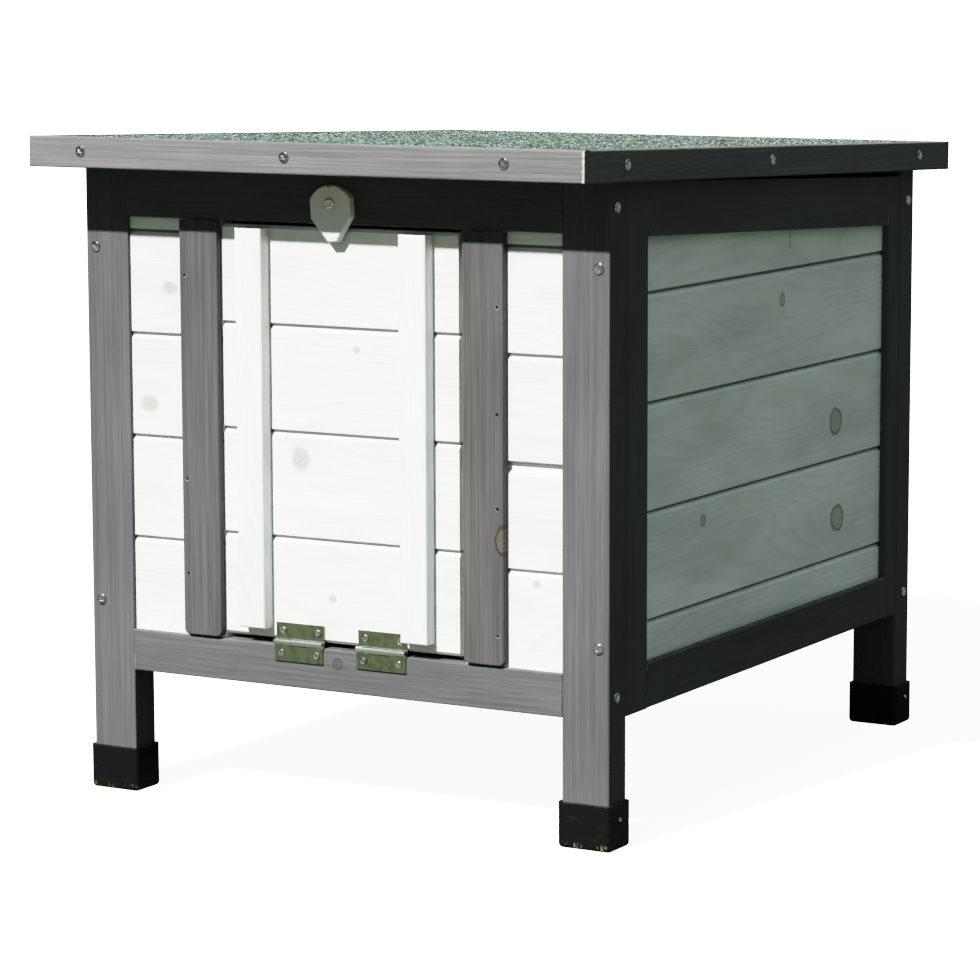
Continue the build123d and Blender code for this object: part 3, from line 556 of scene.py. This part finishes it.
class HutchLooks(bpy.types.PropertyGroup):
    """Colours and wear of the hutch."""

    grey_paint: colour_setting("Grey paint", "Frame paint where it covers well", (0.073, 0.0745, 0.0785))
    grey_thin: colour_setting("Thin grey paint", "Frame paint where the grain shows", (0.100, 0.100, 0.102))
    grey_worn: colour_setting("Worn grey edge", "Edges of the frame, rubbed pale", (0.27, 0.265, 0.255))
    white_paint: colour_setting("White paint", "Paint of the boards and the door", (0.70, 0.715, 0.70))
    white_thin: colour_setting("Thin white paint", "White paint where the wood shows", (0.63, 0.64, 0.61))
    white_line: colour_setting("Growth line", "Late wood under the white paint", (0.42, 0.42, 0.38))
    knot: colour_setting("Knot", "Knots under the white paint", (0.34, 0.335, 0.30))
    bare_wood: colour_setting("Bare wood", "Unpainted timber inside", (0.42, 0.31, 0.19))
    bare_wood_line: colour_setting("Bare wood line", "Late wood of unpainted timber", (0.25, 0.15, 0.075))
    felt_green: colour_setting("Felt green", "Granules of the roofing felt", (0.060, 0.112, 0.079))
    felt_dark: colour_setting("Felt dark", "Darkest granules and bitumen", (0.009, 0.019, 0.013))
    felt_light: colour_setting("Felt light", "Palest granules", (0.46, 0.585, 0.50))
    cap_black: colour_setting("Cap black", "Plastic foot caps", (0.0045, 0.0045, 0.005))
    # The olive of the hinge zinc is partly the plating's own colour and partly a painted reflection of green
    # surroundings.
    zinc: colour_setting("Zinc", "Plating of the hinges", (0.36, 0.40, 0.28))
    dull_zinc_and_green_reflection: colour_setting("Dull zinc", "Weathered plating", (0.20, 0.23, 0.14))
    edge_wear: bpy.props.FloatProperty(
        name="Edge wear", description="How much paint has gone from the edges", default=0.72,
        min=0.0, max=1.0, subtype="FACTOR")
    granule_size: bpy.props.FloatProperty(
        name="Granule size", description="Width of one granule of the felt", default=0.0011,
        min=0.0005, max=0.005, unit="LENGTH", subtype="DISTANCE")
    granule_relief: bpy.props.FloatProperty(
        name="Granule relief", description="Depth of the uneven top of the felt", default=0.0007,
        min=0.0, max=0.0014, unit="LENGTH", subtype="DISTANCE")


class HutchStudio(bpy.types.PropertyGroup):
    """Floor, lights and camera."""

    key_strength: bpy.props.FloatProperty(
        name="Key light", description="Strength of the key light", default=10.6, min=0.0, max=30.0)
    key_height: bpy.props.FloatProperty(
        name="Key height", description="Angle of the key light above the floor", default=math.radians(42.2),
        unit="ROTATION", subtype="ANGLE")
    key_side: bpy.props.FloatProperty(
        name="Key side", description="Angle of the key light to the left of straight in front",
        default=math.radians(8.0), unit="ROTATION", subtype="ANGLE")
    key_softness: bpy.props.FloatProperty(
        name="Key softness", description="Angular size of the key light", default=math.radians(1.5),
        unit="ROTATION", subtype="ANGLE")
    fill_strength: bpy.props.FloatProperty(
        name="Fill light", description="Strength of the even light from all round", default=0.36,
        min=0.0, max=5.0)
    fill: colour_setting("Fill colour", "Colour of the even light", (0.80, 0.97, 1.0))
    floor: colour_setting("Floor", "Plain pale floor", (0.86, 0.86, 0.86))
    bounce: colour_setting("Floor bounce", "How much light the floor gives back", (0.050, 0.061, 0.038))
    floor_glow: bpy.props.FloatProperty(
        name="Floor glow", description="Light the floor shows of itself, which softens the shadow on it",
        default=2.0, min=0.0, max=5.0)
    white_level: bpy.props.FloatProperty(
        name="White level", description="Brightness that shows as pure white", default=3.5,
        min=1.0, max=10.0)
    lens: bpy.props.FloatProperty(
        name="Lens", description="Focal length of the camera in millimetres", default=137.5,
        min=20.0, max=400.0)
    camera_place: bpy.props.FloatVectorProperty(
        name="Camera", description="Place of the camera", default=(1.2917, -2.2917, 0.5706), size=3,
        unit="LENGTH", subtype="XYZ")
    camera_turn: bpy.props.FloatVectorProperty(
        name="Camera turn", description="Tilt, roll and heading of the camera",
        default=tuple(math.radians(v) for v in (81.777, 0.169, 29.761)), size=3,
        unit="ROTATION", subtype="EULER")


# ------------------------------------------------------------------ operators
class HUTCH_OT_grey_frame(bpy.types.Operator):
    """Paint the legs, rails, stiles and slats grey, with the grain along each piece"""

    bl_idname = "hutch.grey_frame"
    bl_label = "Grey Frame"

    def execute(self, context):
        looks = context.scene.hutch_looks
        coat = dict(
            paint=looks.grey_paint, thin=looks.grey_thin, line_colour=looks.grey_paint, wear_and_highlight_colour=looks.grey_worn,
            wear=looks.edge_wear, streak=0.75, line=0.07, spacing=0.0045, wander=0.8, relief=0.3, gloss=0.12,
        )
        slat_coat = dict(
            coat, paint=[c * t for c, t in zip(looks.grey_paint, (0.82, 0.80, 0.76))],
            thin=[c * t for c, t in zip(looks.grey_thin, (0.90, 0.88, 0.84))])
        finish(GREY_UPRIGHT, timber("Grey upright timber", "Z", **coat))
        finish(("left_slat",), timber("Grey slat timber", "Z", **slat_coat))
        finish(GREY_ACROSS, timber("Grey cross timber", "X", **coat))
        finish(GREY_ALONG, timber("Grey side timber", "Y", **coat))
        low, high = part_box("right_slat")
        split = (high.x - 0.0005, low.y, low.z + 0.082)
        finish(("right_slat",), timber(
            "Grey knotty slat", "Z", knots=[(split, (0.0052, 0.03, 0.0095))],
            knot_colour=(0.098, 0.080, 0.068), knot_strength=0.85, knot_ring=0.95, **slat_coat))
        plug = offset_from("front_bottom_rail", x=163.4, y=0.0, z=19.0)
        finish(("front_bottom_rail",), timber(
            "Grey plugged rail", "X", knots=[(plug, (0.0036, 0.02, 0.0036))],
            knot_colour=(0.058, 0.058, 0.062), knot_strength=0.6, **coat))
        return {"FINISHED"}


class HUTCH_OT_white_boards(bpy.types.Operator):
    """Paint the boards, the door, its battens and the turn button white over grain and knots"""

    bl_idname = "hutch.white_boards"
    bl_label = "White Boards"

    def execute(self, context):
        looks = context.scene.hutch_looks
        # The near-white edge colour of this coat, at a high share, is a painted highlight on the arrises and
        # joint chamfers.
        coat = dict(
            paint=looks.white_paint, thin=looks.white_thin, line_colour=looks.white_line,
            wear_and_highlight_colour=(0.93, 0.95, 0.92), knot_colour=looks.knot, wear=0.9, wear_and_highlight_width=0.0009,
            spacing=0.0115, wander=1.5, streak=0.4, line=0.16, relief=0.2, roughness=(0.42, 0.55), dust=0.08,
        )
        front = dict(coat, knot_strength=0.75, knot_ring=0.25)
        side = dict(coat, knot_strength=0.6, knot_ring=0.75)
        cracks = {"right_side_boards": offset_from("right_side_boards", y=227.0, z=256.5)}
        for axis, panels, look in (("X", FRONT_PANELS, front), ("Y", SIDE_PANELS, side)):
            for node, name, knots in panels:
                finish((node,), timber(
                    name, axis, knots=panel_knots(node, axis, knots), crack=cracks.get(node),
                    joints=[offset_from(node, z=level)[2] for level in JOINTS[node]], **look))
        upright = dict(coat, spacing=0.006, wear=0.4)
        finish(("left_door_batten", "right_door_batten"), timber("White battens", "Z", **upright))
        smooth = dict(upright, dust=0.2, streak=0.12, line=0.05)
        finish(("turn_button",), timber("White turn button", "Z", **smooth))
        return {"FINISHED"}


class HUTCH_OT_roof_trim(bpy.types.Operator):
    """Paint the four fascias, with a chipped corner at the right end of the front one"""

    bl_idname = "hutch.roof_trim"
    bl_label = "Roof Trim"

    def execute(self, context):
        looks = context.scene.hutch_looks
        warm = [c * t for c, t in zip(looks.grey_paint, (1.58, 1.53, 1.51))]
        thin = [c * t for c, t in zip(looks.grey_thin, (1.64, 1.59, 1.58))]
        coat = dict(
            paint=warm, thin=thin, line_colour=[0.55 * c for c in looks.grey_paint], wear_and_highlight_colour=(0.22, 0.21, 0.20),
            wear=0.62, streak=0.75, line=0.1, spacing=0.003, wander=0.6, relief=0.35, gloss=0.12,
        )
        low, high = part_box("front_fascia")
        finish(("front_fascia",), timber("Front fascia timber", "X", bare_end=(high.x, low.y), **coat))
        finish(("rear_fascia",), timber("Rear fascia timber", "X", **coat))
        finish(("left_fascia", "right_fascia"), timber("Side fascia timber", "Y", **coat))
        return {"FINISHED"}


def felt_fall(looks, rng, point, edge):
    """How far a point of the felt's top lies below the slab's top, edge rows in from the rim."""
    grain = abs(noise.noise(Vector((point.x, point.y, 0.0)) * FELT_GRAIN))
    fall = looks.granule_relief * (0.55 * rng.random() + 0.45 * grain)
    swell = FELT_SWELL * (0.5 + 0.5 * noise.noise(Vector((point.x, point.y, 3.0)) * FELT_SWELL_SPREAD))
    rim = FELT_RIM_FALLS[edge] if edge < len(FELT_RIM_FALLS) else 0.0
    return min(fall + (swell + rim), FELT_DEEPEST)


def felt_sheet(looks):
    """Closed sheet in the slab's space: an uneven top of fine squares, four edges and a flat underside."""
    low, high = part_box("roof_felt")
    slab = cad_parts["roof_felt"].data
    corners = sorted((v.co.copy() for v in slab.vertices), key=lambda c: (c.y, c.z))
    front = [c for c in corners if c.y < low.y + CORNER_REACH]
    rear = [c for c in corners if c.y > high.y - CORNER_REACH]
    front_top, rear_top = max(front, key=lambda c: c.z), max(rear, key=lambda c: c.z)
    front_low, rear_low = min(front, key=lambda c: c.z), min(rear, key=lambda c: c.z)
    columns = round((high.x - low.x) / FELT_STEP)
    rows = round((high.y - low.y) / FELT_STEP)
    mesh = bmesh.new()
    rng = random.Random(FELT_SEED)
    grid = []
    for j in range(rows + 1):
        top = front_top.lerp(rear_top, j / rows)
        line = []
        for i in range(columns + 1):
            point = Vector((low.x + (high.x - low.x) * i / columns, top.y, top.z))
            point.z -= felt_fall(looks, rng, point, min(i, columns - i, j, rows - j))
            line.append(mesh.verts.new(point))
        grid.append(line)
    for j in range(rows):
        for i in range(columns):
            mesh.faces.new((grid[j][i], grid[j][i + 1], grid[j + 1][i + 1], grid[j + 1][i]))
    rim = grid[0] + [line[-1] for line in grid[1:]] + grid[-1][-2::-1] + [line[0] for line in grid[-2:0:-1]]
    base = []
    for vert in rim:
        share = (vert.co.y - front_top.y) / (rear_top.y - front_top.y)
        base.append(mesh.verts.new((vert.co.x, vert.co.y, front_low.lerp(rear_low, share).z)))
    for k in range(len(rim)):
        n = (k + 1) % len(rim)
        mesh.faces.new((rim[n], rim[k], base[k], base[n]))
    mesh.faces.new(base[::-1])
    bmesh.ops.recalc_face_normals(mesh, faces=mesh.faces)
    return mesh


def put_in_scene(scene, name, mesh, material):
    """Object made from a finished mesh, which is freed."""
    data = bpy.data.meshes.new(name)
    mesh.to_mesh(data)
    mesh.free()
    data.materials.append(material)
    made = bpy.data.objects.new(name, data)
    scene.collection.objects.link(made)
    return made


class HUTCH_OT_felt_layer(bpy.types.Operator):
    """Lay the granular felt on the deck, inside the space of its CAD slab"""

    bl_idname = "hutch.felt_layer"
    bl_label = "Felt Layer"

    def execute(self, context):
        looks = context.scene.hutch_looks
        sheet = put_in_scene(context.scene, "felt_layer", felt_sheet(looks), felt_material(looks))
        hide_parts("roof_felt")
        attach(sheet, "roof")
        return {"FINISHED"}


class HUTCH_OT_inside_timber(bpy.types.Operator):
    """Leave the deck and its battens, the floor and its cleats and the jamb battens as bare wood"""

    bl_idname = "hutch.inside_timber"
    bl_label = "Inside Timber"

    def execute(self, context):
        looks = context.scene.hutch_looks
        wood = dict(
            paint=looks.bare_wood, thin=[0.8 * c for c in looks.bare_wood], line_colour=looks.bare_wood_line,
            wear_and_highlight_colour=[min(1.0, 1.15 * c) for c in looks.bare_wood], wear=0.4, streak=0.5, line=0.55,
            spacing=0.007, wander=1.4, relief=0.35, roughness=(0.55, 0.7), dust=0.1,
        )
        finish(BARE_ALONG, timber("Bare wood along", "Y", **wood))
        finish(BARE_ACROSS, timber("Bare wood across", "X", **wood))
        finish(BARE_UPRIGHT, timber("Bare wood upright", "Z", **wood))
        return {"FINISHED"}


class HUTCH_OT_fittings(bpy.types.Operator):
    """Finish the foot caps, hinges, screws and pins"""

    bl_idname = "hutch.fittings"
    bl_label = "Fittings"

    def execute(self, context):
        looks = context.scene.hutch_looks
        finish(FOOT_CAPS, plastic_material(looks))
        low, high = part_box("door_hinge_pins")
        # the olive tint of the hinge plating is partly a painted reflection of green surroundings
        plating = dict(
            tint=looks.zinc, dull=looks.dull_zinc_and_green_reflection, rubbed_and_glint=(0.93, 0.94, 0.90), roughness=(0.1, 0.24),
            rolling=0.25, dirt=0.05,
        )
        # The door hinges get a painted highlight band round their barrel.
        finish(DOOR_HINGES, zinc_material("Zinc door hinge", barrel=(low.z + high.z) / 2, **plating))
        finish(ROOF_HINGES, zinc_material("Zinc roof hinge", **plating))
        # The screws' bright rims and the bright edges of their cross are a painted highlight.
        finish(SCREWS, zinc_material(
            "Zinc screw", tint=(0.62, 0.63, 0.60), dull=(0.05, 0.05, 0.047), rubbed_and_glint=(0.95, 0.96, 0.94),
            roughness=(0.08, 0.24), rolling=0.3, dirt=0.3, edge=(0.0007, 1.0, 0.95)))
        finish(("slat_pins",), zinc_material(
            "Dark steel pin", tint=(0.06, 0.055, 0.05), dull=(0.04, 0.03, 0.025), rubbed_and_glint=(0.07, 0.065, 0.06),
            roughness=(0.5, 0.7), rolling=0.3, dirt=0.6))
        return {"FINISHED"}


def light_curve(view, white_level):
    """Show light by the curve at the top of this file."""
    view.view_transform = "Standard"
    view.use_curve_mapping = True
    mapping = view.curve_mapping
    mapping.white_level = (white_level,) * 3
    curve = mapping.curves[3]
    for given, shown in LIGHT_CURVE:
        curve.points.new(given / white_level, shown)
    for point in curve.points:
        point.handle_type = "VECTOR"
    mapping.update()


def floor_material(studio):
    """Pale floor that shows some light of itself, and throws back less onto the hutch."""
    material, w, shader, place = new_material("Studio floor")
    pale = w.blend(
        w.span(w.cloud(place, 1.3, 3.0), 0.3, 0.7), studio.floor, [0.985 * c for c in studio.floor])
    seen = w.node("ShaderNodeLightPath").outputs["Is Camera Ray"]
    w.feed(shader.inputs["Base Color"], w.blend(seen, studio.bounce, pale))
    w.feed(shader.inputs["Roughness"], 0.85)
    w.feed(shader.inputs["Emission Color"], (1.0, 1.0, 1.0, 1.0))
    w.feed(shader.inputs["Emission Strength"], w.maths("MULTIPLY", seen, studio.floor_glow))
    return material


def key_light(scene, studio):
    """The key light, high in front of the door."""
    key = bpy.data.lights.new("key_light", "SUN")
    key.energy = studio.key_strength
    key.angle = studio.key_softness
    key.color = KEY_TINT
    lamp = bpy.data.objects.new("key_light", key)
    lamp.rotation_euler = (math.pi / 2 - studio.key_height, 0.0, -studio.key_side)
    scene.collection.objects.link(lamp)


def even_light(scene, studio):
    """Light from all round that grows towards the top of the sky, behind a plain white backdrop."""
    world = bpy.data.worlds.new("studio_world")
    world.use_nodes = True
    scene.world = world
    w = Wiring(world.node_tree)
    backdrop = world.node_tree.nodes["Background"]
    seen = w.node("ShaderNodeLightPath").outputs["Is Camera Ray"]
    heading = w.parts(w.node("ShaderNodeTexCoord").outputs["Generated"])
    levels = [share * studio.fill_strength for share in SKY_LEVELS]
    dome = w.span(heading["Z"], 0.0, 1.0, *levels, False)
    white = w.maths("MULTIPLY", seen, studio.white_level)
    w.feed(backdrop.inputs["Color"], w.blend(seen, studio.fill, (1.0, 1.0, 1.0)))
    w.feed(backdrop.inputs["Strength"], w.maths("MAXIMUM", dome, white))


def studio_camera(scene, studio):
    """The camera, in front of the hutch and to its right."""
    camera = bpy.data.cameras.new("studio_camera")
    camera.lens = studio.lens
    camera.sensor_width = SENSOR_WIDTH
    camera.clip_end = VIEW_REACH
    stand = bpy.data.objects.new("studio_camera", camera)
    stand.location = studio.camera_place
    stand.rotation_euler = studio.camera_turn
    scene.collection.objects.link(stand)
    scene.camera = stand


class HUTCH_OT_studio(bpy.types.Operator):
    """Set the pale floor, the key light, the even light and the camera"""

    bl_idname = "hutch.studio"
    bl_label = "Studio"

    def execute(self, context):
        scene = context.scene
        studio = scene.hutch_studio
        light_curve(scene.view_settings, studio.white_level)
        mesh = bmesh.new()
        bmesh.ops.create_grid(mesh, x_segments=8, y_segments=8, size=FLOOR_REACH)
        floor = put_in_scene(scene, "studio_floor", mesh, floor_material(studio))
        key_light(scene, studio)
        even_light(scene, studio)
        studio_camera(scene, studio)
        return {"FINISHED"}


class HUTCH_PT_sidebar(bpy.types.Panel):
    """Finishes and studio of the hutch"""

    bl_label = "Pet Hutch"
    bl_idname = "HUTCH_PT_sidebar"
    bl_space_type = "VIEW_3D"
    bl_region_type = "UI"
    bl_category = "Hutch"

    def draw(self, context):
        layout = self.layout
        for settings in (context.scene.hutch_looks, context.scene.hutch_studio):
            column = layout.column()
            for name in settings.__annotations__:
                column.prop(settings, name)
        for operator in OPERATORS:
            layout.operator(operator.bl_idname)


OPERATORS = (
    HUTCH_OT_grey_frame, HUTCH_OT_white_boards, HUTCH_OT_roof_trim, HUTCH_OT_felt_layer,
    HUTCH_OT_inside_timber, HUTCH_OT_fittings, HUTCH_OT_studio,
)
CLASSES = (HutchLooks, HutchStudio, *OPERATORS, HUTCH_PT_sidebar)


def register():
    for cls in CLASSES:
        bpy.utils.register_class(cls)
    bpy.types.Scene.hutch_looks = bpy.props.PointerProperty(type=HutchLooks)
    bpy.types.Scene.hutch_studio = bpy.props.PointerProperty(type=HutchStudio)


def unregister():
    del bpy.types.Scene.hutch_studio
    del bpy.types.Scene.hutch_looks
    for cls in reversed(CLASSES):
        bpy.utils.unregister_class(cls)


def main():
    """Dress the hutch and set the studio."""
    register()
    bpy.ops.hutch.grey_frame()
    bpy.ops.hutch.white_boards()
    bpy.ops.hutch.roof_trim()
    bpy.ops.hutch.felt_layer()
    bpy.ops.hutch.inside_timber()
    bpy.ops.hutch.fittings()
    bpy.ops.hutch.studio()


if __name__ == "__main__":
    main()
